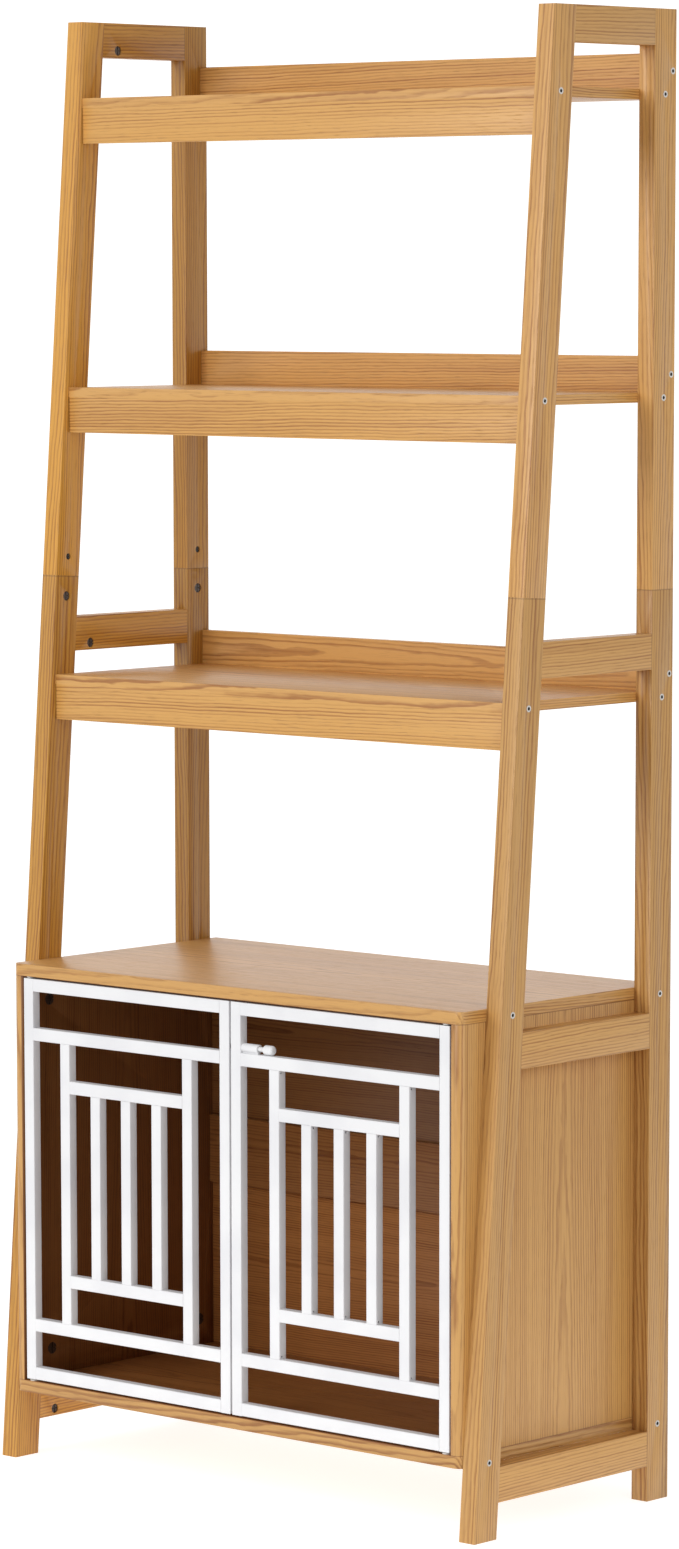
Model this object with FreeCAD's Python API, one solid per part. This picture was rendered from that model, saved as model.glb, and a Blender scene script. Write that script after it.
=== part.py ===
"""Ladder shelf: two leaning side frames, three open shelves, and a cabinet with two grille doors.

Millimetres, +Z up, +X to the right, +Y to the back. The origin is on the floor, in the middle
of the width and of the depth. Every piece is a separate solid or group of solids, one file each.
"""
import FreeCAD, Part
import math
import os

Vector = FreeCAD.Vector
os.makedirs("parts", exist_ok=True)

# ---- overall ----
width = 790.0
height = 1800.0
foot_depth = 364.0              # front foot's front to rear leg's back, on the floor
top_depth = 226.0               # the same at the top of the legs
cabinet_overhang = 11.0         # how far the cabinet stands out behind the rear legs

# ---- side frames ----
leg_width = 24.0
leg_depth = 40.0
rail_height = 43.0
bottom_rail_lift = 44.0         # floor to the underside of the bottom rail
cabinet_rail_drop = 73.0        # cabinet top to the underside of the cabinet rail
mid_rail_lift = 28.0            # lower shelf's top to the underside of the mid rail
leg_joint_lift = 123.0          # lower shelf's top to the joint between leg halves

# ---- shelves ----
shelf_count = 3
board_thickness = 12.0
apron_height = 44.0
apron_thickness = 12.0
apron_end_gap = 1.0
back_board_height = 43.0
shelf_setback = 6.0             # shelf's front edge behind the front of the leg
headroom = 94.0                 # upper shelf's top to the top of the legs

# ---- cabinet ----
cabinet_height = 545.0
cabinet_setback = 2.0           # cabinet's front behind the front feet
panel_thickness = 15.0
corner_radius = 10.0            # upright front corners of the cabinet
back_panel_thickness = 3.0
back_panel_inset = 20.5         # cabinet's back edge to the back panel
groove_depth = 6.0
groove_clearance = 0.15
batten_height = 88.0
batten_dowel_inset = 22.0       # dowel's centre from the batten's edge

# ---- doors ----
tube = 16.0                     # tube's width, seen from the front
tube_depth = 12.5
tube_wall = 1.0
tube_radius = 1.0
door_recess = 1.0               # door's face behind the cabinet's front edge
hinge_gap = 3.2                 # hinge stile to side panel
meeting_gap = 3.0               # between the two doors
door_gap = 2.5                  # above and below each door
cross_gap = 46.0                # outer frame to crossbar, and crossbar to inner crossbar
stile_gap = 47.0                # outer stile to inner upright
bar_count = 3
vent_radius = 1.25
vent_lift = 3.0                 # vent's centre from the end of its bar
vent_inset = 4.5                # vent's centre behind the bar's front
pin_radius = 3.0
pin_reach = 9.0                 # pin past the end of the stile
plug_length = 14.0
plug_clearance = 0.1
running_clearance = 0.05
bush_radius = 5.0
bush_depth = 10.0
flange_radius = 6.0
flange_thickness = 1.5

# ---- latch ----
barrel_radius = 5.5
barrel_length = 26.0
barrel_foot = 0.9               # crossbar's top to the underside of the barrel
barrel_foot_width = 5.0
bolt_radius = 3.0
bolt_travel = 10.0
knob_radius = 6.0
knob_length = 14.0
knob_rounding = 4.2             # rounding of the knob's far end
knob_gap = 0.5                  # left between knob and barrel when the bolt is thrown
bolt_hole_radius = 4.0
bolt_tip_inset = 0.6            # bolt's tip inside the door's edge when drawn back

# ---- fasteners ----
fit_clearance = 0.05
screw_radius = 2.5
screw_grip = 30.0               # screw past the leg's inner face
screw_head_radius = 4.0
screw_head_height = 3.0
socket_width = 4.0
socket_depth = 2.2
cam_bolt_radius = 3.0
cam_bolt_thread = 12.0          # bolt's length in the piece that it is screwed into
frame_cam_radius = 6.0
frame_cam_height = 11.0
frame_cam_recess = 1.5
frame_cam_offset = 27.0         # cam's centre from the end of the rail
frame_cam_lift = 9.0            # cam's centre above the underside of the rail
leg_cam_drop = 25.5             # cam's centre below the leg joint
barrel_nut_lift = 24.0          # barrel nut's centre above the leg joint
barrel_nut_radius = 4.0
barrel_nut_height = 13.0
panel_cam_radius = 7.5
panel_cam_height = 11.0
panel_cam_offset = 34.0         # cam's centre from the end of the side panel
panel_cam_inset = 50.0          # cam's centre from the side panel's edge
cam_slot_width = 1.4
cam_slot_depth = 1.5
dowel_radius = 4.0
dowel_length = 30.0
dowel_edge = 12.0               # dowel's centre from the edge of a rail
leg_dowel_spread = 12.0         # dowel's centre from the leg's middle
panel_dowel_depth = 10.0        # dowel in a cabinet panel's face
panel_dowel_inset = 95.0
slim_dowel_radius = 3.0
slim_dowel_length = 20.0
slim_dowel_depth = 8.0          # slim dowel in a shelf board
slim_dowel_places = (-0.8, -0.27, 0.27, 0.8)    # shares of the shelf's half width

# ---- modelling ----
overcut = 1.0                   # how far a cutter runs past the piece that it cuts
tolerance = 0.01                # how near two values are to count as the same

# ---- worked out ----
depth = foot_depth + cabinet_overhang
legs_back = depth / 2 - cabinet_overhang
foot_front = legs_back - foot_depth
lean = (foot_depth - top_depth) / height
lean_angle = math.atan(lean)
leg_slice = leg_depth / math.cos(lean_angle)
inner_x = width / 2 - leg_width
outer_x = width / 2

cabinet_bottom = bottom_rail_lift + rail_height
cabinet_top = cabinet_bottom + cabinet_height
cabinet_front = foot_front + cabinet_setback
cabinet_back = legs_back + cabinet_overhang
room_x = inner_x - panel_thickness
room_bottom = cabinet_bottom + panel_thickness
room_top = cabinet_top - panel_thickness
back_panel_back = cabinet_back - back_panel_inset
back_panel_front = back_panel_back - back_panel_thickness
batten_middle = (back_panel_front + back_panel_back) / 2
batten_bottom = (room_bottom + room_top - batten_height) / 2
batten_top = batten_bottom + batten_height

shelf_pitch = (height - headroom - cabinet_top) / shelf_count
shelf_names = ("lower", "middle", "upper")
shelf_tops = [cabinet_top + shelf_pitch * (level + 1) for level in range(shelf_count)]
leg_joint = shelf_tops[0] + leg_joint_lift
rail_bottoms = {
    "bottom_rail": bottom_rail_lift,
    "cabinet_rail": cabinet_top - cabinet_rail_drop,
    "mid_rail": shelf_tops[0] + mid_rail_lift,
    "top_rail": height - rail_height,
}

door_front = cabinet_front + door_recess
door_back = door_front + tube_depth
door_middle = door_front + tube_depth / 2
door_bottom = room_bottom + door_gap
door_top = room_top - door_gap
latch_z = door_top - tube - cross_gap + barrel_foot + barrel_radius
AXIS_X = Vector(1, 0, 0)
AXIS_Y = Vector(0, 1, 0)
AXIS_Z = Vector(0, 0, 1)
SIDES = (("left", -1), ("right", 1))
WAYS = (-1, 1)


# ---- shape helpers ----
def box(x0, x1, y0, y1, z0, z1):
    """A box between two values on each axis, given in either order."""
    corner = Vector(min(x0, x1), min(y0, y1), min(z0, z1))
    return Part.makeBox(abs(x1 - x0), abs(y1 - y0), abs(z1 - z0), corner)


def rod(start, direction, radius, length):
    """A round bar that starts at a point and runs along a direction."""
    return Part.makeCylinder(radius, length, start, direction)


def side_plate(x0, x1, outline):
    """A plate with a (y, z) outline, between two values of x."""
    points = [Vector(min(x0, x1), y, z) for y, z in outline]
    face = Part.Face(Part.makePolygon(points + points[:1]))
    return face.extrude(Vector(abs(x1 - x0), 0, 0))


def bored(piece, cutters):
    """The piece with every cutter that reaches it taken away."""
    near = [cutter for cutter in cutters if piece.BoundBox.intersect(cutter.BoundBox)]
    return piece.cut(near).removeSplitter() if near else piece


def leg_front(z):
    """The front face of a front leg at a height."""
    return foot_front + lean * z


def leg_back(z):
    """The back face of a front leg at a height."""
    return leg_front(z) + leg_slice


def leg_seam():
    """The (y, z) ends of a front leg's joint, which is cut square across the leaning leg."""
    middle = Vector(0, leg_front(leg_joint) + leg_slice / 2, leg_joint)
    across = Vector(0, math.cos(lean_angle), -math.sin(lean_angle)) * (leg_depth / 2)
    return [((middle + across * way).y, (middle + across * way).z) for way in WAYS]


def save(node, *solids):
    """Write one node: one solid, or several as a group."""
    shape = solids[0] if len(solids) == 1 else Part.makeCompound(list(solids))
    shape.exportStep("parts/" + node + ".step")


# ---- fasteners: each makes its solid and the hole that it needs ----
def screw(side, y, z):
    """A socket-head screw through a leg, flush with its outer face, into the end of a board."""
    head_start = Vector(side * outer_x, y, z)
    inward = AXIS_X * -side
    shank_start = head_start + inward * screw_head_height
    shank_length = leg_width + screw_grip - screw_head_height
    shank = rod(shank_start, inward, screw_radius, shank_length)
    head = rod(head_start, inward, screw_head_radius, screw_head_height)
    corners = []
    for step in range(6):
        angle = math.radians(60 * step)
        reach = socket_width / math.sqrt(3)
        corners.append((y + reach * math.cos(angle), z + reach * math.sin(angle)))
    socket_end = side * (outer_x - socket_depth)
    socket = side_plate(side * outer_x, socket_end, corners)
    hole = rod(head_start, inward, screw_head_radius + fit_clearance, screw_head_height)
    hole = hole.fuse(rod(shank_start, inward, screw_radius + fit_clearance,
                         shank_length + overcut))
    return head.fuse(shank).cut(socket), hole


def cam_bolt(start, direction, length):
    """A bolt screwed into one piece, whose other end is held by a cam lock."""
    body = rod(start, direction, cam_bolt_radius, length)
    hole = rod(start, direction, cam_bolt_radius + fit_clearance, length + overcut)
    return body, hole


def cam_lock(centre, inward, radius, cam_height, recess):
    """A round cam in a blind hole; centre is on the face that the hole opens in."""
    start = centre + inward * recess
    body = rod(start, inward, radius, cam_height)
    for turn in (0, 90):
        long_x, long_z = (radius, cam_slot_width / 2) if turn == 0 else (cam_slot_width / 2, radius)
        slot = Part.makeBox(2 * long_x, 2 * long_z, cam_slot_depth, Vector(-long_x, -long_z, 0))
        slot.Placement = FreeCAD.Placement(start, FreeCAD.Rotation(AXIS_Z, inward))
        body = body.cut(slot)
    hole = rod(centre, inward, radius + fit_clearance, recess + cam_height + fit_clearance)
    return body, hole


def dowel(middle, direction, before, after, radius):
    """A wooden dowel that reaches a distance each way from the joint that it crosses."""
    body = rod(middle - direction * before, direction, radius, before + after)
    hole = rod(middle - direction * (before + fit_clearance), direction,
               radius + fit_clearance, before + after + 2 * fit_clearance)
    return body, hole


fasteners = {name: [] for name in (
    "frame_screws", "frame_cam_locks", "frame_cam_bolts", "leg_barrel_nuts",
    "panel_cam_locks", "panel_cam_bolts", "frame_dowels", "shelf_dowels")}


def add_screws():
    """Six screws for each shelf and four for each end of the cabinet."""
    rear_y = legs_back - leg_depth / 2
    levels = [top - board_thickness / 2 for top in shelf_tops]
    levels += [cabinet_top - panel_thickness / 2, cabinet_bottom + panel_thickness / 2]
    for side in WAYS:
        for z in levels:
            front_y = leg_front(z) + leg_slice / 2
            fasteners["frame_screws"].append(screw(side, front_y, z))
            fasteners["frame_screws"].append(screw(side, rear_y, z))
        for top in shelf_tops:
            back_y = legs_back - board_thickness / 2
            fasteners["frame_screws"].append(screw(side, back_y, top + back_board_height / 2))


def add_rail_joints():
    """A cam and a dowel at each rail's front end, and two dowels at its rear end."""
    for side in WAYS:
        middle_x = side * (inner_x + leg_width / 2)
        cam_axis_x = side * (inner_x + frame_cam_recess + frame_cam_height / 2)
        for rail_bottom in rail_bottoms.values():
            cam_z = rail_bottom + frame_cam_lift
            rail_end = leg_back(cam_z)
            cam_face = Vector(side * inner_x, rail_end + frame_cam_offset, cam_z)
            bolt_start = Vector(cam_axis_x, rail_end - cam_bolt_thread, cam_z)
            bolt = cam_bolt(bolt_start, AXIS_Y, cam_bolt_thread + frame_cam_offset)
            cam = cam_lock(cam_face, AXIS_X * side, frame_cam_radius, frame_cam_height,
                           frame_cam_recess)
            fasteners["frame_cam_bolts"].append(bolt)
            fasteners["frame_cam_locks"].append((cam[0].cut(bolt[1]), cam[1]))
            upper_z = rail_bottom + rail_height - dowel_edge
            front_joint = Vector(middle_x, leg_back(upper_z), upper_z)
            half = dowel_length / 2
            fasteners["frame_dowels"].append(dowel(front_joint, AXIS_Y, half, half, dowel_radius))
            for z in (rail_bottom + dowel_edge, upper_z):
                joint = Vector(middle_x, legs_back - leg_depth, z)
                fasteners["frame_dowels"].append(dowel(joint, AXIS_Y, half, half, dowel_radius))


def add_leg_joints():
    """A bolt from a cam in the lower leg to a nut in the upper leg, with a dowel on each side."""
    rear_up = AXIS_Z
    front_up = Vector(0, math.sin(lean_angle), math.cos(lean_angle))
    legs = (
        (leg_front(leg_joint) + leg_slice / 2, front_up),
        (legs_back - leg_depth / 2, rear_up),
    )
    for side in WAYS:
        bolt_x = side * (inner_x + frame_cam_recess + frame_cam_height / 2)
        for middle_y, up in legs:
            across = Vector(0, up.z, -up.y)
            joint = Vector(bolt_x, middle_y, leg_joint)
            bolt = cam_bolt(joint - up * leg_cam_drop, up, leg_cam_drop + barrel_nut_lift)
            cam_place = joint - up * leg_cam_drop
            cam_face = Vector(side * inner_x, cam_place.y, cam_place.z)
            cam = cam_lock(cam_face, AXIS_X * side, frame_cam_radius, frame_cam_height,
                           frame_cam_recess)
            nut_place = joint + up * barrel_nut_lift
            nut_face = Vector(side * inner_x, nut_place.y, nut_place.z)
            nut = cam_lock(nut_face, AXIS_X * side, barrel_nut_radius, barrel_nut_height,
                           frame_cam_recess)
            fasteners["frame_cam_bolts"].append(bolt)
            fasteners["frame_cam_locks"].append((cam[0].cut(bolt[1]), cam[1]))
            fasteners["leg_barrel_nuts"].append((nut[0].cut(bolt[1]), nut[1]))
            for way in WAYS:
                place = Vector(side * (inner_x + leg_width / 2), middle_y, leg_joint)
                place = place + across * (way * leg_dowel_spread)
                half = dowel_length / 2
                fasteners["frame_dowels"].append(dowel(place, up, half, half, dowel_radius))


def add_cabinet_joints():
    """Cams and dowels between the side panels, the top, the bottom and the batten."""
    cam_places = (cabinet_front + panel_cam_inset, cabinet_back - panel_cam_inset)
    dowel_places = (cabinet_front + panel_dowel_inset, cabinet_back - panel_dowel_inset)
    for side in WAYS:
        middle_x = side * (room_x + panel_thickness / 2)
        for joint_z, up in ((room_top, 1), (room_bottom, -1)):
            for y in cam_places:
                bolt_start = Vector(middle_x, y, joint_z + up * cam_bolt_thread)
                bolt = cam_bolt(bolt_start, AXIS_Z * -up, cam_bolt_thread + panel_cam_offset)
                cam_face = Vector(side * room_x, y, joint_z - up * panel_cam_offset)
                cam = cam_lock(cam_face, AXIS_X * side, panel_cam_radius, panel_cam_height, 0.0)
                fasteners["panel_cam_bolts"].append(bolt)
                fasteners["panel_cam_locks"].append((cam[0].cut(bolt[1]), cam[1]))
            for y in dowel_places:
                joint = Vector(middle_x, y, joint_z)
                below = dowel_length - panel_dowel_depth
                fasteners["frame_dowels"].append(
                    dowel(joint, AXIS_Z * up, below, panel_dowel_depth, dowel_radius))
        for z in (batten_bottom + batten_dowel_inset, batten_top - batten_dowel_inset):
            joint = Vector(side * room_x, batten_middle, z)
            inside = dowel_length - panel_dowel_depth
            fasteners["frame_dowels"].append(
                dowel(joint, AXIS_X * side, inside, panel_dowel_depth, dowel_radius))


def add_shelf_joints():
    """Slim dowels between each shelf board, the apron under it and the back board on it."""
    below = slim_dowel_length - slim_dowel_depth
    for top in shelf_tops:
        underside = top - board_thickness
        apron_y = leg_front(top) + shelf_setback + apron_thickness / 2
        back_y = legs_back - board_thickness / 2
        for share in slim_dowel_places:
            lower = Vector(share * inner_x, apron_y, underside)
            upper = Vector(share * inner_x, back_y, top)
            fasteners["shelf_dowels"].append(
                dowel(lower, AXIS_Z, below, slim_dowel_depth, slim_dowel_radius))
            fasteners["shelf_dowels"].append(
                dowel(upper, AXIS_Z, slim_dowel_depth, below, slim_dowel_radius))


# ---- wooden pieces ----
def save_side_frames(holes):
    """Two halves of each leg and four rails on each side."""
    seam_front, seam_back = leg_seam()
    foot = [(leg_back(0), 0), (leg_front(0), 0)]
    head = [(leg_back(height), height), (leg_front(height), height)]
    rear_front = legs_back - leg_depth
    halves = (
        ("lower", foot + [seam_front, seam_back], 0, leg_joint),
        ("upper", head + [seam_front, seam_back], leg_joint, height),
    )
    for name, side in SIDES:
        x0, x1 = side * inner_x, side * outer_x
        for half, outline, z0, z1 in halves:
            front = side_plate(x0, x1, outline)
            rear = box(x0, x1, rear_front, legs_back, z0, z1)
            save(name + "_front_leg_" + half, bored(front, holes))
            save(name + "_rear_leg_" + half, bored(rear, holes))
        for rail, z0 in rail_bottoms.items():
            z1 = z0 + rail_height
            outline = [(leg_back(z0), z0), (rear_front, z0), (rear_front, z1), (leg_back(z1), z1)]
            save(name + "_" + rail, bored(side_plate(x0, x1, outline), holes))


def save_shelves(holes):
    """A board, the apron under its front edge and the back board on its rear edge."""
    for shelf, top in zip(shelf_names, shelf_tops):
        front = leg_front(top) + shelf_setback
        underside = top - board_thickness
        apron_x = inner_x - apron_end_gap
        board = box(-inner_x, inner_x, front, legs_back, underside, top)
        apron = box(-apron_x, apron_x, front, front + apron_thickness,
                    underside - apron_height, underside)
        back = box(-inner_x, inner_x, legs_back - board_thickness, legs_back,
                   top, top + back_board_height)
        save(shelf + "_shelf_board", bored(board, holes))
        save(shelf + "_shelf_apron", bored(apron, holes))
        save(shelf + "_shelf_back_board", bored(back, holes))


def round_front_corners(panel):
    """Round the cabinet's upright front corners, those at its outer faces only."""
    corners = []
    for edge in panel.Edges:
        ends = [vertex.Point for vertex in edge.Vertexes]
        if len(ends) != 2 or abs(ends[0].z - ends[1].z) < panel_thickness / 2:
            continue
        at_front = all(abs(point.y - cabinet_front) < tolerance for point in ends)
        at_side = all(abs(abs(point.x) - inner_x) < tolerance for point in ends)
        if at_front and at_side:
            corners.append(edge)
    return panel.makeFillet(corner_radius, corners)


def back_groove():
    """The space of the thin back, let into the panels round it and into the batten."""
    reach_x = room_x + groove_depth
    return box(-reach_x, reach_x,
               back_panel_front - groove_clearance, back_panel_back + groove_clearance,
               room_bottom - groove_depth, room_top + groove_depth)


def bush_holes():
    """The holes in the cabinet's top and bottom that the doors' pivot bushes sit in."""
    holes = []
    for side in WAYS:
        pivot_x = side * (room_x - hinge_gap - tube / 2)
        for joint_z, up in ((room_top, 1), (room_bottom, -1)):
            start = Vector(pivot_x, door_middle, joint_z)
            holes.append(rod(start, AXIS_Z * up, bush_radius + fit_clearance, bush_depth))
    return holes


def save_carcass(holes):
    """The cabinet's top and bottom, and the side panels between them."""
    groove = back_groove()
    for level, z0, z1 in (("top", room_top, cabinet_top), ("bottom", cabinet_bottom, room_bottom)):
        panel = box(-inner_x, inner_x, cabinet_front, cabinet_back, z0, z1)
        panel = bored(round_front_corners(panel), holes + bush_holes() + [groove])
        save("cabinet_" + level, panel)
    for name, side in SIDES:
        panel = box(side * room_x, side * inner_x, cabinet_front, cabinet_back,
                    room_bottom, room_top)
        save("cabinet_" + name + "_side", bored(round_front_corners(panel), holes + [groove]))


def save_batten(holes):
    """The batten across the back, with a slot in each edge for a thin back panel."""
    batten = box(-room_x, room_x, batten_middle - panel_thickness / 2,
                 batten_middle + panel_thickness / 2, batten_bottom, batten_top)
    slot_x = room_x + overcut
    for z0, z1 in ((batten_bottom, batten_bottom + groove_depth),
                   (batten_top - groove_depth, batten_top)):
        batten = batten.cut(box(-slot_x, slot_x, back_panel_front - groove_clearance,
                                back_panel_back + groove_clearance, z0, z1))
    save("cabinet_back_batten", bored(batten, holes))


def save_back_panels():
    """The two thin back panels, below and above the batten."""
    reach_x = room_x + groove_depth - groove_clearance
    spans = (("lower", room_bottom - groove_depth, batten_bottom + groove_depth),
             ("upper", batten_top - groove_depth, room_top + groove_depth))
    for half, z0, z1 in spans:
        panel = box(-reach_x, reach_x, back_panel_front, back_panel_back,
                    z0 + groove_clearance, z1 - groove_clearance)
        save("cabinet_back_panel_" + half, panel)


# ---- doors ----
def rounded_bar(x0, x1, z0, z1, y0, y1, radius):
    """A bar along X or Z whose four long edges are rounded."""
    bar = box(x0, x1, y0, y1, z0, z1)
    along = AXIS_Z if abs(z1 - z0) > abs(x1 - x0) else AXIS_X
    edges = []
    for edge in bar.Edges:
        ends = [vertex.Point for vertex in edge.Vertexes]
        run = (ends[1] - ends[0]).normalize()
        if abs(run.dot(along)) > 1 - tolerance:
            edges.append(edge)
    return bar.makeFillet(radius, edges)


def door_tube(x0, x1, z0, z1, capped=False):
    """A square steel tube along X or Z, open or closed at its ends."""
    x0, x1 = min(x0, x1), max(x0, x1)
    outer = rounded_bar(x0, x1, z0, z1, door_front, door_back, tube_radius)
    end = -tube_wall if capped else overcut
    upright = (z1 - z0) > (x1 - x0)
    grow_x, grow_z = (-tube_wall, end) if upright else (end, -tube_wall)
    hollow = box(x0 - grow_x, x1 + grow_x, door_front + tube_wall, door_back - tube_wall,
                 z0 - grow_z, z1 + grow_z)
    return outer.cut(hollow)


def vented_upright(x, z0, z1, side):
    """An upright tube with a vent hole near each welded end, in its wall on the hinge side."""
    upright = door_tube(x, x + tube, z0, z1)
    middle = x + tube / 2
    for z in (z0 + vent_lift, z1 - vent_lift):
        start = Vector(middle, door_front + vent_inset, z)
        upright = upright.cut(rod(start, AXIS_X * side, vent_radius, tube))
    return upright


def pivot_pins(side):
    """Two steel plugs in the ends of the hinge stile, each with the pin that it turns on."""
    pivot_x = side * (room_x - hinge_gap - tube / 2)
    half_width = tube / 2 - tube_wall - plug_clearance
    half_depth = tube_depth / 2 - tube_wall - plug_clearance
    pins = []
    for end_z, up in ((door_top, 1), (door_bottom, -1)):
        plug = box(pivot_x - half_width, pivot_x + half_width,
                   door_middle - half_depth, door_middle + half_depth,
                   end_z - up * plug_length, end_z)
        pin = rod(Vector(pivot_x, door_middle, end_z - up * plug_length / 2), AXIS_Z * up,
                  pin_radius, plug_length / 2 + pin_reach)
        pins.append(plug.fuse(pin).removeSplitter())
    return pins


def save_door_frame(prefix, side, ends):
    """A door's outer frame. Ends are the x of its two rails' ends."""
    hinge_x = side * (room_x - hinge_gap)
    free_x = side * meeting_gap / 2
    # The bolt passes through both walls of its own stile, and through one wall of the other.
    meeting_stile = door_tube(free_x, free_x + side * tube, door_bottom, door_top, capped=True)
    hole_start = Vector(-meeting_gap / 2 - tube / 2, door_middle, latch_z)
    bolt_hole = rod(hole_start, AXIS_X, bolt_hole_radius, 2 * tube + meeting_gap)
    save(prefix + "meeting_stile", meeting_stile.cut(bolt_hole))
    save(prefix + "hinge_stile",
         door_tube(hinge_x, hinge_x - side * tube, door_bottom, door_top))
    save(prefix + "bottom_rail", door_tube(*ends, door_bottom, door_bottom + tube))
    save(prefix + "top_rail", door_tube(*ends, door_top - tube, door_top))


def save_grille(prefix, side, ends):
    """A door's two crossbars, and the inner frame with its upright bars between them."""
    lower_cross = door_bottom + tube + cross_gap
    upper_cross = door_top - tube - cross_gap - tube
    lower_inner = lower_cross + tube + cross_gap
    upper_inner = upper_cross - cross_gap - tube
    save(prefix + "crossbars", *[door_tube(*ends, z, z + tube) for z in (lower_cross, upper_cross)])

    first = ends[0] + stile_gap
    last = ends[1] - stile_gap - tube
    inner = [vented_upright(x, lower_cross + tube, upper_cross, side) for x in (first, last)]
    inner += [door_tube(first + tube, last, z, z + tube) for z in (lower_inner, upper_inner)]
    save(prefix + "inner_frame", *inner)

    pitch = (last - first) / (bar_count + 1)
    bars = [vented_upright(first + pitch * number, lower_inner + tube, upper_inner, side)
            for number in range(1, bar_count + 1)]
    save(prefix + "grille_bars", *bars)


def save_door(name, side):
    """One door, all of one tube, with the two pins that it turns on."""
    prefix = name + "_door_"
    ends = sorted((side * (room_x - hinge_gap - tube), side * (meeting_gap / 2 + tube)))
    save_door_frame(prefix, side, ends)
    save_grille(prefix, side, ends)
    save(prefix + "pivot_pins", *pivot_pins(side))


def save_bushes():
    """A flanged bush for each pivot pin, let into the cabinet's top and bottom."""
    bushes = []
    for side in WAYS:
        pivot_x = side * (room_x - hinge_gap - tube / 2)
        for joint_z, up in ((room_top, 1), (room_bottom, -1)):
            face = Vector(pivot_x, door_middle, joint_z)
            sleeve = rod(face, AXIS_Z * up, bush_radius, bush_depth)
            flange = rod(face - AXIS_Z * (up * flange_thickness), AXIS_Z * up,
                         flange_radius, flange_thickness)
            bore = rod(face - AXIS_Z * (up * flange_thickness), AXIS_Z * up,
                       pin_radius + running_clearance, flange_thickness + bush_depth)
            bushes.append(sleeve.fuse(flange).cut(bore).removeSplitter())
    save("door_pivot_bushes", *bushes)


def save_latch():
    """A barrel bolt on the right door's upper crossbar, which enters the left door's stile."""
    door_edge = meeting_gap / 2
    barrel_start = door_edge + tube
    start = Vector(barrel_start, door_middle, latch_z)
    barrel = rod(start, AXIS_X, barrel_radius, barrel_length)
    foot = box(barrel_start, barrel_start + barrel_length,
               door_middle - barrel_foot_width / 2, door_middle + barrel_foot_width / 2,
               latch_z - barrel_radius - barrel_foot, latch_z - bolt_radius)
    barrel = barrel.fuse(foot).cut(rod(start, AXIS_X, bolt_radius + running_clearance, barrel_length))
    save("latch_barrel", barrel)
    tip_x = door_edge + bolt_tip_inset
    knob_start = barrel_start + barrel_length + knob_gap + bolt_travel
    bolt = rod(Vector(tip_x, door_middle, latch_z), AXIS_X, bolt_radius,
               knob_start - tip_x + overcut)
    knob_place = Vector(knob_start, door_middle, latch_z)
    knob = rod(knob_place, AXIS_X, knob_radius, knob_length)
    far_end = [edge for edge in knob.Edges
               if abs(edge.BoundBox.XMin - (knob_start + knob_length)) < tolerance
               and abs(edge.BoundBox.XMax - (knob_start + knob_length)) < tolerance]
    knob = knob.makeFillet(knob_rounding, far_end)
    save("latch_bolt", bolt.fuse(knob).removeSplitter())


def main():
    """Work out the fasteners, bore the pieces for them and write every node."""
    add_screws()
    add_rail_joints()
    add_leg_joints()
    add_cabinet_joints()
    add_shelf_joints()
    holes = [hole for group in fasteners.values() for solid, hole in group]
    save_side_frames(holes)
    save_shelves(holes)
    save_carcass(holes)
    save_batten(holes)
    save_back_panels()
    for name, side in SIDES:
        save_door(name, side)
    save_bushes()
    save_latch()
    for node, group in fasteners.items():
        save(node, *[solid for solid, hole in group])


main()
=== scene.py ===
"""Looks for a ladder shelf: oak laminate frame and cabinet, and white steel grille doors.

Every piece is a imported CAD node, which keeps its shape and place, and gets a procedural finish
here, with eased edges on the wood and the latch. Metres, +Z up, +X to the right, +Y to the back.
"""
import math
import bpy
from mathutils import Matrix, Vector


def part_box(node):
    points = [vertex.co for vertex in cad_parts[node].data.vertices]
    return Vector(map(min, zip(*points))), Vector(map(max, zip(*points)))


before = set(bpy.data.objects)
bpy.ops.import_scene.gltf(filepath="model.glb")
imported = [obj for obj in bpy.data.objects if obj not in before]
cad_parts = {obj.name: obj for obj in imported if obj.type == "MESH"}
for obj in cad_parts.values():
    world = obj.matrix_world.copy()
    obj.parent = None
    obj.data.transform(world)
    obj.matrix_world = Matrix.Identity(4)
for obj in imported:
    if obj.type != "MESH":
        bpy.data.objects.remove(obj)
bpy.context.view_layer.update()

import zlib

import bpy
from mathutils import Euler, Matrix, Vector

bl_info = {
    "name": "Ladder shelf",
    "version": (1, 0, 0),
    "blender": (4, 5, 0),
    "location": "View3D > Sidebar > Ladder shelf",
    "description": "Oak laminate, white powder coat and fittings for a ladder shelf with a cabinet",
    "category": "Object",
}

SIDES = ("left", "right")
SHELVES = ("lower", "middle", "upper")
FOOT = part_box("left_front_leg_lower")
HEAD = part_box("left_front_leg_upper")
LEAN = math.atan2(HEAD[0].y - FOOT[0].y, HEAD[1].z - HEAD[0].z + FOOT[1].z - FOOT[0].z)
LEANING_SEAM = Vector((0, FOOT[0].y + (FOOT[1].z - FOOT[0].z) * math.tan(LEAN), FOOT[1].z))
UPRIGHT_SEAM = Vector((0, 0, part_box("left_rear_leg_lower")[1].z))


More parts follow.
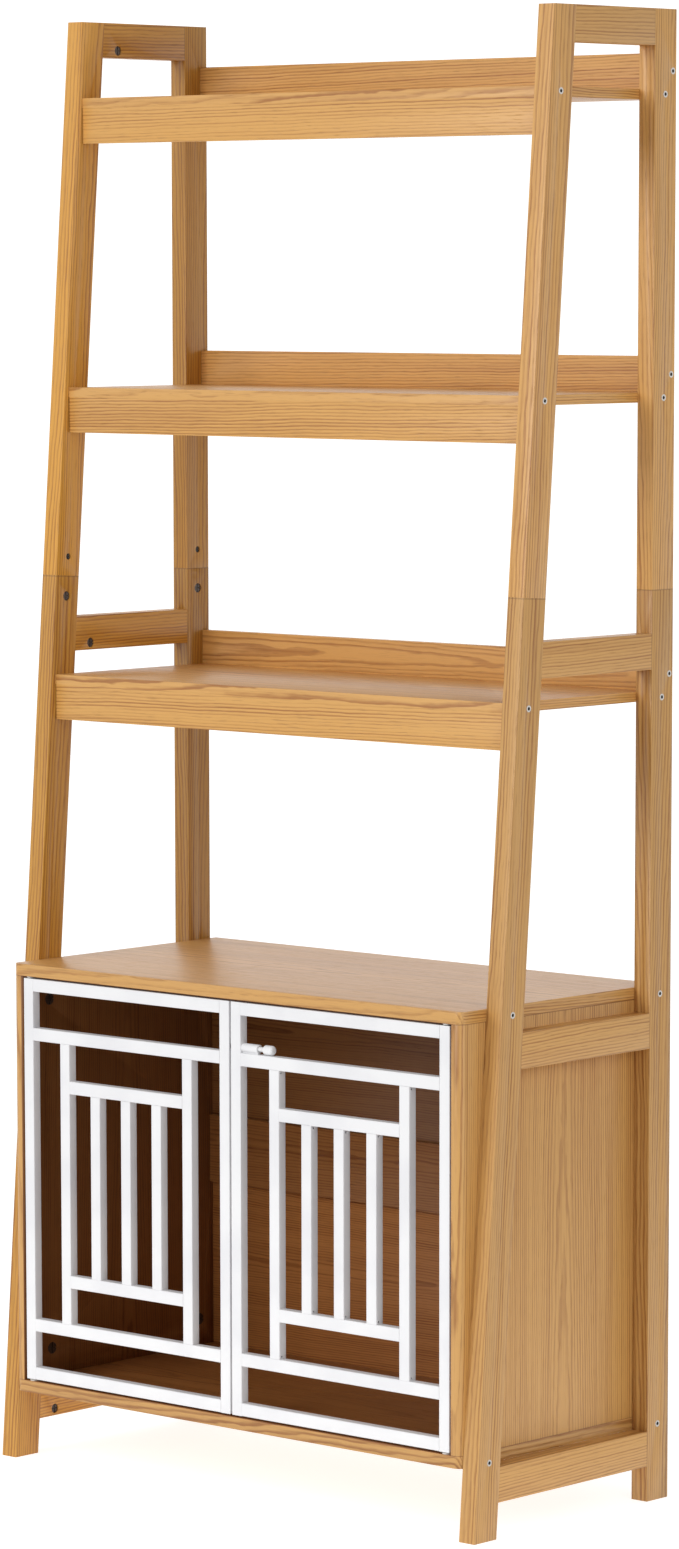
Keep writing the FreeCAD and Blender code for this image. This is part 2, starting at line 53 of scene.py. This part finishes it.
# ---- settings ----
class OakSettings(bpy.types.PropertyGroup):
    """The oak laminate of the frame, the shelves and the cabinet."""

    pale: bpy.props.FloatVectorProperty(
        name="Pale wood", description="Colour between the growth lines",
        default=(0.665, 0.360, 0.108), size=3, min=0, max=1, subtype="COLOR")
    dark: bpy.props.FloatVectorProperty(
        name="Growth lines", description="Colour of the growth lines",
        default=(0.365, 0.150, 0.034), size=3, min=0, max=1, subtype="COLOR")
    pore: bpy.props.FloatVectorProperty(
        name="Pores", description="Colour of the short pores",
        default=(0.22, 0.095, 0.025), size=3, min=0, max=1, subtype="COLOR")
    line_spacing: bpy.props.FloatProperty(
        name="Line spacing", description="Distance between growth lines on the frame",
        default=0.0031, min=0.001, max=0.02, subtype="DISTANCE", unit="LENGTH")
    line_strength: bpy.props.FloatProperty(
        name="Line strength", description="How far a growth line goes to its dark colour",
        default=0.95, min=0, max=1, subtype="FACTOR")
    # Painted shade: a darker colour multiplied into the cabinet's inner faces for the shade in the
    # cabinet.
    inside: bpy.props.FloatVectorProperty(
        name="Inside", description="Darkening of the cabinet's inner faces",
        default=(0.46, 0.345, 0.32), size=3, min=0, max=1, subtype="COLOR")
    roughness: bpy.props.FloatProperty(
        name="Roughness", description="Roughness of the satin laminate",
        default=0.38, min=0, max=1, subtype="FACTOR")
    relief: bpy.props.FloatProperty(
        name="Relief", description="Depth of the pores pressed into the laminate",
        default=0.00012, min=0, max=0.001, subtype="DISTANCE", unit="LENGTH")
    wander: bpy.props.FloatProperty(
        name="Wander", description="How far the growth lines wander from a round log's",
        default=0.014, min=0, max=0.1, subtype="DISTANCE", unit="LENGTH")
    ripple: bpy.props.FloatProperty(
        name="Ripple", description="Height of the small waves in the growth lines",
        default=0.0030, min=0, max=0.02, subtype="DISTANCE", unit="LENGTH")
    edge: bpy.props.FloatProperty(
        name="Edge easing", description="Width of the eased edges of the boards",
        default=0.0009, min=0, max=0.005, subtype="DISTANCE", unit="LENGTH")


class SteelSettings(bpy.types.PropertyGroup):
    """The powder-coated steel of the doors and the latch."""

    paint: bpy.props.FloatVectorProperty(
        name="Powder coat", description="Colour of the powder coat",
        default=(0.84, 0.84, 0.85), size=3, min=0, max=1, subtype="COLOR")
    paint_shade: bpy.props.FloatVectorProperty(
        name="Thin coat", description="Colour where the coat is thinner",
        default=(0.78, 0.78, 0.80), size=3, min=0, max=1, subtype="COLOR")
    roughness: bpy.props.FloatProperty(
        name="Roughness", description="Roughness of the powder coat",
        default=0.38, min=0, max=1, subtype="FACTOR")
    ripple: bpy.props.FloatProperty(
        name="Ripple", description="Depth of the coat's fine ripple",
        default=0.00006, min=0, max=0.001, subtype="DISTANCE", unit="LENGTH")
    edge: bpy.props.FloatProperty(
        name="Edge easing", description="Width of the soft edges at the tubes' cut ends",
        default=0.0004, min=0, max=0.002, subtype="DISTANCE", unit="LENGTH")


class FittingSettings(bpy.types.PropertyGroup):
    """The screws, cams, nuts, pins, bushes and dowels."""

    zinc: bpy.props.FloatVectorProperty(
        name="Zinc plate", description="Colour of the zinc-plated screws, bolts and nuts",
        default=(0.50, 0.48, 0.45), size=3, min=0, max=1, subtype="COLOR")
    cast: bpy.props.FloatVectorProperty(
        name="Cast cams", description="Colour of the cast cam locks",
        default=(0.12, 0.10, 0.09), size=3, min=0, max=1, subtype="COLOR")
    nylon: bpy.props.FloatVectorProperty(
        name="Nylon", description="Colour of the moulded bushes",
        default=(0.78, 0.76, 0.71), size=3, min=0, max=1, subtype="COLOR")
    beech: bpy.props.FloatVectorProperty(
        name="Beech", description="Colour of the dowels",
        default=(0.66, 0.45, 0.24), size=3, min=0, max=1, subtype="COLOR")


class StageSettings(bpy.types.PropertyGroup):
    """The floor, the lights and the camera."""

    floor: bpy.props.FloatVectorProperty(
        name="Floor", description="Colour of the floor",
        default=(0.50, 0.50, 0.50), size=3, min=0, max=1, subtype="COLOR")
    floor_glow: bpy.props.FloatProperty(
        name="Floor glow", description="How much light the floor gives off",
        default=0.80, min=0, max=5)
    floor_fade: bpy.props.FloatVectorProperty(
        name="Floor fade", description="Distances at which the floor starts and ends fading out",
        default=(0.8, 2.2), size=2, min=0, max=3, unit="LENGTH")
    room_light: bpy.props.FloatProperty(
        name="Room light", description="Strength of the even light from all round on the pieces",
        default=0.45, min=0, max=5)
    backdrop: bpy.props.FloatProperty(
        name="Backdrop", description="Strength of the surroundings as they are seen and mirrored",
        default=1.2, min=0, max=5)
    key_power: bpy.props.FloatProperty(
        name="Key light", description="Power of the large light at the front, on the left",
        default=117.0, min=0, max=5000, unit="POWER")
    side_power: bpy.props.FloatProperty(
        name="Side light", description="Power of the large light on the right",
        default=11.0, min=0, max=5000, unit="POWER")
    camera_place: bpy.props.FloatVectorProperty(
        name="Camera place", description="Where the camera stands",
        default=(4.7651, -5.2914, 1.5001), size=3, subtype="TRANSLATION", unit="LENGTH")
    camera_turn: bpy.props.FloatProperty(
        name="Turn", description="How far the camera is turned to the left of straight on",
        default=math.radians(41.923), subtype="ANGLE", unit="ROTATION")
    camera_tilt: bpy.props.FloatProperty(
        name="Tilt", description="How far the camera looks down",
        default=math.radians(7.633), subtype="ANGLE", unit="ROTATION")
    camera_roll: bpy.props.FloatProperty(
        name="Roll", description="How far the camera leans to its side",
        default=math.radians(0.073), subtype="ANGLE", unit="ROTATION")
    lens: bpy.props.FloatProperty(
        name="Lens", description="Focal length for a 36 mm frame, in millimetres",
        default=134.86, min=10, max=500, unit="CAMERA")
    rise: bpy.props.FloatProperty(
        name="Rise", description="How far the frame is raised, as a share of its height",
        default=0.1728, min=-1, max=1)


# ---- shader maths ----
class Field:
    """One socket of a material's nodes: a number, colour or point that changes over a surface."""

    def __init__(self, tree, socket=None):
        self.tree = tree
        self.socket = socket

    def node(self, kind, settings=None, inputs=None, output=0):
        """Add a node: its settings first, then its sockets' values and links."""
        node = self.tree.nodes.new(kind)
        for name, value in (settings or {}).items():
            if name == "stops":
                while len(node.color_ramp.elements) < len(value):
                    node.color_ramp.elements.new(0.5)
                for element, (place, colour) in zip(node.color_ramp.elements, value):
                    element.position = place
                    element.color = colour
            else:
                setattr(node, name, value)
        for name, value in (inputs or {}).items():
            if isinstance(value, Field):
                self.tree.links.new(value.socket, node.inputs[name])
            else:
                node.inputs[name].default_value = value
        return Field(self.tree, node.outputs[output])

    def maths(self, operation, *values):
        """A Math node on these values, which may be fields or numbers."""
        return self.node("ShaderNodeMath", {"operation": operation}, dict(enumerate(values)))

    def __add__(self, other):
        return self.maths("ADD", self, other)

    def __radd__(self, other):
        return self.maths("ADD", other, self)

    def __sub__(self, other):
        return self.maths("SUBTRACT", self, other)

    def __rsub__(self, other):
        return self.maths("SUBTRACT", other, self)

    def __mul__(self, other):
        return self.maths("MULTIPLY", self, other)

    def __rmul__(self, other):
        return self.maths("MULTIPLY", other, self)

    def __truediv__(self, other):
        return self.maths("DIVIDE", self, other)

    def __pow__(self, other):
        return self.maths("POWER", self, other)

    def __abs__(self):
        return self.maths("ABSOLUTE", self)

    def part(self, name):
        """One of a point's three numbers."""
        return self.node("ShaderNodeSeparateXYZ", None, {0: self}, output=name)

    def between(self, low, high):
        """0 below low, 1 above high, and a smooth rise between them."""
        settings = {"interpolation_type": "SMOOTHSTEP"}
        return self.node("ShaderNodeMapRange", settings, {0: self, 1: low, 2: high})

    def stretched(self, x, y, z):
        """This point with each of its numbers scaled."""
        return self.node("ShaderNodeVectorMath", {"operation": "MULTIPLY"}, {0: self, 1: (x, y, z)})

    def moved(self, shift, turn):
        """This point turned, and then shifted."""
        inputs = {"Vector": self, "Location": shift, "Rotation": turn}
        return self.node("ShaderNodeMapping", {"vector_type": "POINT"}, inputs)

    def length(self):
        """This point's distance from zero."""
        return self.node("ShaderNodeVectorMath", {"operation": "LENGTH"}, {0: self}, output=1)

    def noise(self, scale, detail=2.0, roughness=0.5, output=0):
        """Soft noise around 0.5 at this point, as a number or, from output 1, as a point."""
        inputs = {"Vector": self, "Scale": scale, "Detail": detail, "Roughness": roughness}
        return self.node("ShaderNodeTexNoise", {"noise_dimensions": "3D"}, inputs, output)

    def mixed(self, first, second, way="MIX"):
        """Two colours mixed, or combined in another way, by this field."""
        settings = {"data_type": "RGBA", "blend_type": way}
        return self.node("ShaderNodeMix", settings, {0: self, 6: first, 7: second}, output=2)

    def bumped(self, depth, strength=1.0):
        """A surface normal raised by this field, to a depth in metres."""
        inputs = {"Height": self, "Distance": depth, "Strength": strength}
        return self.node("ShaderNodeBump", None, inputs)


class Finish:
    """A new material with one Principled shader, and the field that its nodes start from."""

    def __init__(self, name):
        self.material = bpy.data.materials.new(name)
        self.material.use_nodes = True
        tree = self.material.node_tree
        tree.nodes.clear()
        self.shader = tree.nodes.new("ShaderNodeBsdfPrincipled")
        output = tree.nodes.new("ShaderNodeOutputMaterial")
        tree.links.new(self.shader.outputs["BSDF"], output.inputs["Surface"])
        self.start = Field(tree)
        self.tree = tree

    def place(self):
        """The point on the piece, which moves with it."""
        return self.start.node("ShaderNodeTexCoord", output="Object")

    def set(self, **sockets):
        """Set or link the shader's sockets, named with underscores for spaces."""
        for name, value in sockets.items():
            socket = self.shader.inputs[name.replace("_", " ")]
            if isinstance(value, Field):
                self.tree.links.new(value.socket, socket)
            else:
                socket.default_value = value
        return self.material


def colour(rgb, share=1.0, tint=(1, 1, 1)):
    """A colour for a socket, lighter or darker by a share, and tinted."""
    return (*[min(1.0, channel * share * part) for channel, part in zip(rgb, tint)], 1.0)


def own_number(name, salt):
    """A number from 0 to 1 that is always the same for a name."""
    return zlib.crc32((name + salt).encode()) / 0xFFFFFFFF


# ---- finishes ----
GRAIN_TURNS = {
    "across": Euler((0, 0, 0)),
    "depth": Euler((0, 0, -math.pi / 2)),
    "upright": Euler((0, math.pi / 2, 0)),
    "leaning": Euler((LEAN, math.pi / 2, 0)),
}


def growth_lines(place, spacing, taper):
    """How dark the growth line is at a place in the log, and how late in its year the wood is."""
    oak = bpy.context.scene.oak_settings
    slow = place.stretched(2.2, 9, 9).noise(1.0, output=1)
    wander = place.node(
        "ShaderNodeVectorMath", {"operation": "MULTIPLY_ADD"},
        {0: slow, 1: (0, oak.wander, oak.wander), 2: place.stretched(0, 1, 1)})
    ripple = place.stretched(20, 90, 90).noise(1.0)
    growth = (wander.length() + ripple * oak.ripple + place.part("X") * taper) / spacing
    year = growth.maths("FLOOR", growth)
    phase = growth - year
    vigour = year.node("ShaderNodeTexWhiteNoise", {"noise_dimensions": "1D"}, {"W": year})
    late = phase.between(0.30, 0.78) * (1 - phase.between(0.84, 1.0))
    return late * (vigour * 0.65 + 0.35), late


def oak_finish(node, grain, heart, spacing_share=1.0, share=1.0, tint=(1, 1, 1), ends=None,
               inside=None, inside_share=1.0, banded=False):
    """Oak laminate for one piece, sliced from its own place in a log.

    Grain is the way that the log runs, and heart is how far the middle of the log lies from the
    middle of the piece, across the piece's width and through its thickness. Spacing_share widens
    the growth lines. Share and tint make the wood lighter or darker and colour it. Ends are the
    points where the piece is cut across its grain. The painted-shade side is the side of the
    piece, as an axis and a sign, that faces the cabinet's interior; that face gets painted shade,
    a darker colour multiplied in for the shade in the cabinet, and a higher painted-shade share
    makes it lighter. A banded piece has edging, with grain along it, on its left and right ends.
    """
    oak = bpy.context.scene.oak_settings
    low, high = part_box(node)
    turn = GRAIN_TURNS[grain]
    seed = 40 * own_number(node, "seed")
    shift = Vector((seed, -heart[0], -heart[1])) - turn.to_matrix() @ ((low + high) / 2)
    finish = Finish("oak_" + node)
    spot = finish.place()
    place = spot.moved(shift, turn)
    if banded:
        edging = spot.moved((seed, 0.04, 0.02), GRAIN_TURNS["depth"])
        place = abs(spot.part("X")).between(high.x - 0.0012, high.x - 0.0008).mixed(place, edging)
    taper = 0.010 + 0.012 * own_number(node, "taper")
    line, late = growth_lines(place, oak.line_spacing * spacing_share, taper)

    fibre = place.stretched(5, 360, 360).noise(1.0, 3.0, 0.6)
    streak = place.stretched(1.4, 70, 70).noise(1.0)
    cloud = place.stretched(1.2, 8, 8).noise(1.0)
    pores = place.stretched(42, 800, 800).noise(1.0, 1.0).between(0.56, 0.68)
    pores = pores * (0.35 + late * 0.65)

    tone = line * oak.line_strength + (fibre - 0.5) * 1.2 + (streak - 0.5) * 0.9
    tone = tone + (cloud - 0.5) * 0.7
    tone = tone.node("ShaderNodeClamp", None, {0: tone - 0.02})
    wood = tone.mixed(colour(oak.pale, share, tint), colour(oak.dark, share, tint))
    wood = (pores * 0.32).mixed(wood, colour(oak.pore, share))
    for end in cut_ends(low, high, grain) if ends is None else ends:
        gap = abs(place.part("X") - (turn.to_matrix() @ end + shift).x)
        seam = 1 - gap.between(0.0003, 0.0012)
        wood = (seam * 0.4).mixed(wood, colour(oak.pore, 0.5))
    # Painted shade: the face towards the cabinet's interior is multiplied by a darker colour for
    # its shade.
    if inside:
        axis, sign = inside
        face = (high if sign > 0 else low)["XYZ".index(axis)]
        shade = ((spot.part(axis) - face) * sign).between(-0.0007, -0.0003)
        wood = shade.mixed(wood, colour(oak.inside, inside_share), "MULTIPLY")
    relief = (pores * -1.0 + (fibre - 0.5) * 0.5).bumped(oak.relief, 0.8)
    rough = oak.roughness + pores * 0.16 + (fibre - 0.5) * 0.12
    return finish.set(Base_Color=wood, Roughness=rough, Normal=relief, Specular_IOR_Level=0.5)


def cut_ends(low, high, grain):
    """The middles of a straight piece's two ends."""
    along = {"across": Vector((1, 0, 0)), "depth": Vector((0, 1, 0)),
             "upright": Vector((0, 0, 1))}[grain]
    middle = (low + high) / 2
    reach = along * ((high - low).dot(along) / 2)
    return middle - reach, middle + reach


def powder_coat():
    """White powder coat: a fine ripple, and slightly uneven thickness."""
    steel = bpy.context.scene.steel_settings
    finish = Finish("white_powder_coat")
    place = finish.place()
    ripple = place.noise(420.0, 2.0)
    cloud = place.noise(14.0, 3.0)
    speck = place.noise(1900.0, 1.0)
    coat = cloud.between(0.35, 0.70).mixed(colour(steel.paint), colour(steel.paint_shade))
    rough = steel.roughness + (cloud - 0.5) * 0.10 + (speck - 0.5) * 0.06
    normal = (ripple + speck * 0.3).bumped(steel.ripple, 0.7)
    return finish.set(Base_Color=coat, Roughness=rough, Normal=normal)


def zinc_plate():
    """Zinc-plated steel with fine turned lines, a cloudy sheen and painted shade in the heads'
    sockets.
    """
    fittings = bpy.context.scene.fitting_settings
    finish = Finish("zinc_plate")
    place = finish.place()
    cloud = place.noise(260.0, 3.0)
    lines = place.stretched(300, 2600, 2600).noise(1.0, 2.0)
    metal = cloud.mixed(colour(fittings.zinc, 1.15), colour(fittings.zinc, 0.8))
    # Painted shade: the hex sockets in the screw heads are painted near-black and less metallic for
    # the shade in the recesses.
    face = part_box("frame_screws")[1].x
    socket = 1.0 - abs(place.part("X")).between(face - 0.0016, face - 0.0008)
    metal = (socket * 0.93).mixed(metal, colour(fittings.zinc, 0.05))
    rough = 0.34 + cloud * 0.16 + (lines - 0.5) * 0.10
    return finish.set(Base_Color=metal, Metallic=1.0 - socket * 0.6, Roughness=rough,
                      Normal=lines.bumped(0.00003, 0.6))


def cast_metal():
    """Dull cast zinc of the cam locks."""
    fittings = bpy.context.scene.fitting_settings
    finish = Finish("cast_cam_metal")
    place = finish.place()
    grain = place.noise(900.0, 3.0)
    cloud = place.noise(120.0, 2.0)
    metal = cloud.mixed(colour(fittings.cast, 1.15), colour(fittings.cast, 0.7))
    return finish.set(Base_Color=metal, Metallic=1.0, Roughness=0.42 + grain * 0.2,
                      Normal=grain.bumped(0.00006, 0.7))


def nylon():
    """Moulded nylon with a faint matt texture."""
    fittings = bpy.context.scene.fitting_settings
    finish = Finish("moulded_nylon")
    place = finish.place()
    matt = place.noise(1300.0, 2.0)
    cloud = place.noise(90.0, 2.0)
    body = cloud.mixed(colour(fittings.nylon, 1.04), colour(fittings.nylon, 0.94))
    return finish.set(Base_Color=body, Roughness=0.5 + (matt - 0.5) * 0.14,
                      Normal=matt.bumped(0.00004, 0.6))


def beech():
    """Plain beech with short flecks and pressed flutes."""
    fittings = bpy.context.scene.fitting_settings
    finish = Finish("beech_dowels")
    place = finish.place()
    fleck = place.stretched(500, 500, 160).noise(1.0, 2.0).between(0.56, 0.70)
    cloud = place.noise(60.0, 2.0)
    body = cloud.mixed(colour(fittings.beech, 1.06), colour(fittings.beech, 0.90))
    body = (fleck * 0.4).mixed(body, colour(fittings.beech, 0.6))
    return finish.set(Base_Color=body, Roughness=0.6 + fleck * 0.1,
                      Normal=fleck.bumped(0.00005, 0.5))


# ---- pieces ----
def ease_edges(node, width):
    """Join a node's faces into whole planes and round its sharp edges a little."""
    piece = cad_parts[node]
    weld = piece.modifiers.new("Joined corners", "WELD")
    weld.merge_threshold = 0.00001
    planes = piece.modifiers.new("Whole faces", "DECIMATE")
    planes.decimate_type = "DISSOLVE"
    planes.angle_limit = math.radians(0.5)
    round_edges = piece.modifiers.new("Eased edges", "BEVEL")
    round_edges.width = width
    round_edges.segments = 2
    round_edges.limit_method = "ANGLE"
    round_edges.angle_limit = math.radians(40)
    round_edges.harden_normals = True
    round_edges.use_clamp_overlap = True


def finish_node(node, material):
    """Give a node one material."""
    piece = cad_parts[node]
    piece.data.materials.clear()
    piece.data.materials.append(material)
    for face in piece.data.polygons:
        face.use_smooth = True


def finish_oak(node, grain, heart, **details):
    """Ease a wooden node's edges and give it its own oak."""
    ease_edges(node, bpy.context.scene.oak_settings.edge)
    finish_node(node, oak_finish(node, grain, heart, **details))


class LADDER_OT_side_frames(bpy.types.Operator):
    """Oak on the legs and the rails of both side frames"""

    bl_idname = "ladder_shelf.side_frames"
    bl_label = "Side frames"

    def execute(self, context):
        # Painted shade and bounce light: the left frame is tinted deeper orange for the warm light
        # bounced onto it, and the rear legs are darkened, the left ones most, for their shade.
        painted_side_shading = {"left": ((1.02, 0.92, 0.48), 0.76), "right": ((1, 1, 1), 0.97)}
        for side, (tint, rear_painted_shade) in painted_side_shading.items():
            for half, share in (("lower", 0.84), ("upper", 1.0)):
                finish_oak(side + "_front_leg_" + half, "leaning", (0.050, 0.050),
                           share=share, tint=tint, ends=[LEANING_SEAM])
                finish_oak(side + "_rear_leg_" + half, "upright", (0.050, 0.048),
                           share=share * rear_painted_shade, tint=tint, ends=[UPRIGHT_SEAM])
            for rail in ("top_rail", "mid_rail", "cabinet_rail", "bottom_rail"):
                finish_oak(side + "_" + rail, "depth", (0.012, 0.045), spacing_share=1.2,
                           share=0.92, tint=tint)
        return {"FINISHED"}


class LADDER_OT_shelves(bpy.types.Operator):
    """Oak on the shelf boards, their aprons and their back boards"""

    bl_idname = "ladder_shelf.shelves"
    bl_label = "Shelves"

    def execute(self, context):
        hearts = ((0.012, 0.044), (0.010, 0.060), (0.014, 0.052))
        back_hearts = ((0.018, 0.006), (0.012, 0.046), (0.010, 0.054))
        for shelf, heart, back_heart in zip(SHELVES, hearts, back_hearts):
            finish_oak(shelf + "_shelf_board", "across", (0.030, 0.050), ends=(), banded=True)
            finish_oak(shelf + "_shelf_apron", "across", heart, spacing_share=1.25,
                       tint=(1.0, 0.98, 0.88))
            finish_oak(shelf + "_shelf_back_board", "across", back_heart, spacing_share=1.2)
        return {"FINISHED"}


class LADDER_OT_cabinet(bpy.types.Operator):
    """Oak on the cabinet's top, bottom, sides, back panels and batten"""

    bl_idname = "ladder_shelf.cabinet"
    bl_label = "Cabinet"

    def execute(self, context):
        # The faces towards the cabinet's interior get painted shade; a lower painted-shade share
        # paints it darker.
        finish_oak("cabinet_top", "across", (0.020, 0.060), ends=(), inside=("Z", -1),
                   banded=True, share=0.92)
        finish_oak("cabinet_bottom", "across", (-0.030, 0.060), ends=(), inside=("Z", 1),
                   inside_share=1.4, banded=True, share=0.84)
        for side, sign in zip(SIDES, (1, -1)):
            finish_oak("cabinet_" + side + "_side", "upright", (0.012, 0.020), spacing_share=1.2,
                       inside=("X", sign), share=0.90)
        for piece, inside_share in (("batten", 1.5), ("panel_lower", 1.9), ("panel_upper", 1.1)):
            finish_oak("cabinet_back_" + piece, "across", (0.012, 0.020), share=0.88,
                       inside=("Y", -1), inside_share=inside_share)
        return {"FINISHED"}


class LADDER_OT_doors(bpy.types.Operator):
    """White powder coat on the tubes of both grille doors"""

    bl_idname = "ladder_shelf.doors"
    bl_label = "Doors"

    def execute(self, context):
        coat = powder_coat()
        for side in SIDES:
            for piece in ("hinge_stile", "meeting_stile", "top_rail", "bottom_rail",
                          "crossbars", "inner_frame", "grille_bars"):
                finish_node(side + "_door_" + piece, coat)
        return {"FINISHED"}


class LADDER_OT_latch(bpy.types.Operator):
    """White powder coat on the latch's barrel and bolt"""

    bl_idname = "ladder_shelf.latch"
    bl_label = "Latch"

    def execute(self, context):
        coat = powder_coat()
        for node in ("latch_barrel", "latch_bolt"):
            ease_edges(node, context.scene.steel_settings.edge)
            finish_node(node, coat)
        return {"FINISHED"}


class LADDER_OT_fittings(bpy.types.Operator):
    """Zinc, cast metal, nylon and beech on the screws, cams, nuts, pins, bushes and dowels"""

    bl_idname = "ladder_shelf.fittings"
    bl_label = "Fittings"

    def execute(self, context):
        finishes = (
            (zinc_plate(), ("frame_screws", "frame_cam_bolts", "leg_barrel_nuts",
                            "panel_cam_bolts", "left_door_pivot_pins",
                            "right_door_pivot_pins")),
            (cast_metal(), ("frame_cam_locks", "panel_cam_locks")),
            (nylon(), ("door_pivot_bushes",)),
            (beech(), ("frame_dowels", "shelf_dowels")),
        )
        for material, nodes in finishes:
            for node in nodes:
                finish_node(node, material)
        return {"FINISHED"}


# ---- stage ----
def add_soft_light(name, place, aim, size, power):
    """A large square light that faces a point."""
    light = bpy.data.lights.new(name, "AREA")
    light.size = size
    light.energy = power
    lamp = bpy.data.objects.new(name, light)
    lamp.location = place
    lamp.rotation_euler = (Vector(aim) - Vector(place)).to_track_quat("-Z", "Y").to_euler()
    bpy.context.scene.collection.objects.link(lamp)


class LADDER_OT_stage(bpy.types.Operator):
    """The pale floor, the soft lights and the camera"""

    bl_idname = "ladder_shelf.stage"
    bl_label = "Stage"

    def execute(self, context):
        scene = context.scene
        stage = scene.stage_settings
        scene.view_settings.view_transform = "Standard"

        mesh = bpy.data.meshes.new("floor")
        reach = 3.0
        corners = [(-reach, -reach, 0), (reach, -reach, 0), (reach, reach, 0), (-reach, reach, 0)]
        mesh.from_pydata(corners, [], [(0, 1, 2, 3)])
        floor = bpy.data.objects.new("floor", mesh)
        finish = Finish("pale_floor")
        place = finish.place()
        tint = place.noise(3.0, 3.0).mixed(colour(stage.floor), colour(stage.floor, 0.985))
        mesh.materials.append(finish.set(
            Base_Color=tint, Roughness=0.8, Alpha=1.0 - place.length().between(*stage.floor_fade),
            Emission_Color=(1, 1, 1, 1), Emission_Strength=stage.floor_glow))
        scene.collection.objects.link(floor)

        world = bpy.data.worlds.new("studio")
        world.use_nodes = True
        world.node_tree.nodes.clear()
        start = Field(world.node_tree)
        lit = start.node("ShaderNodeLightPath", output="Is Diffuse Ray")
        strength = stage.backdrop - lit * (stage.backdrop - stage.room_light)
        light = start.node("ShaderNodeBackground", None,
                           {"Color": (1.0, 1.0, 1.0, 1.0), "Strength": strength})
        output = world.node_tree.nodes.new("ShaderNodeOutputWorld")
        world.node_tree.links.new(light.socket, output.inputs["Surface"])
        scene.world = world

        add_soft_light("key_light", (-1.0, -4.2, 3.0), (0, 0, 0.9), 2.6, stage.key_power)
        add_soft_light("side_light", (2.1, -0.5, 1.3), (0, 0, 0.9), 1.4, stage.side_power)

        camera = bpy.data.cameras.new("camera")
        camera.lens = stage.lens
        camera.sensor_width = 36.0
        camera.shift_y = stage.rise
        camera.clip_end = 60.0
        eye = bpy.data.objects.new("camera", camera)
        look = Vector((-math.sin(stage.camera_turn) * math.cos(stage.camera_tilt),
                       math.cos(stage.camera_turn) * math.cos(stage.camera_tilt),
                       -math.sin(stage.camera_tilt)))
        level = Vector((math.cos(stage.camera_turn), math.sin(stage.camera_turn), 0))
        up = level.cross(look)
        spin = Matrix.Rotation(stage.camera_roll, 3, look)
        axes = Matrix((spin @ level, spin @ up, -look)).transposed()
        eye.matrix_world = Matrix.Translation(stage.camera_place) @ axes.to_4x4()
        scene.collection.objects.link(eye)
        scene.camera = eye
        return {"FINISHED"}


class LADDER_PT_sidebar(bpy.types.Panel):
    """The sizes, colours and steps of the ladder shelf"""

    bl_idname = "LADDER_PT_sidebar"
    bl_label = "Ladder shelf"
    bl_space_type = "VIEW_3D"
    bl_region_type = "UI"
    bl_category = "Ladder shelf"

    def draw(self, context):
        for name in SETTINGS:
            group = getattr(context.scene, name)
            part = self.layout.box()
            for prop in group.bl_rna.properties.keys():
                if prop not in ("rna_type", "name"):
                    part.prop(group, prop)
        for operator in OPERATORS:
            self.layout.operator(operator.bl_idname)


SETTINGS = {
    "oak_settings": OakSettings,
    "steel_settings": SteelSettings,
    "fitting_settings": FittingSettings,
    "stage_settings": StageSettings,
}
OPERATORS = (
    LADDER_OT_side_frames,
    LADDER_OT_shelves,
    LADDER_OT_cabinet,
    LADDER_OT_doors,
    LADDER_OT_latch,
    LADDER_OT_fittings,
    LADDER_OT_stage,
)


def register():
    for name, group in SETTINGS.items():
        bpy.utils.register_class(group)
        setattr(bpy.types.Scene, name, bpy.props.PointerProperty(type=group))
    for operator in OPERATORS:
        bpy.utils.register_class(operator)
    bpy.utils.register_class(LADDER_PT_sidebar)


def unregister():
    bpy.utils.unregister_class(LADDER_PT_sidebar)
    for operator in reversed(OPERATORS):
        bpy.utils.unregister_class(operator)
    for name, group in SETTINGS.items():
        delattr(bpy.types.Scene, name)
        bpy.utils.unregister_class(group)


def main():
    """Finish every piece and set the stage."""
    register()
    for operator in OPERATORS:
        family, step = operator.bl_idname.split(".")
        getattr(getattr(bpy.ops, family), step)()


if __name__ == "__main__":
    main()
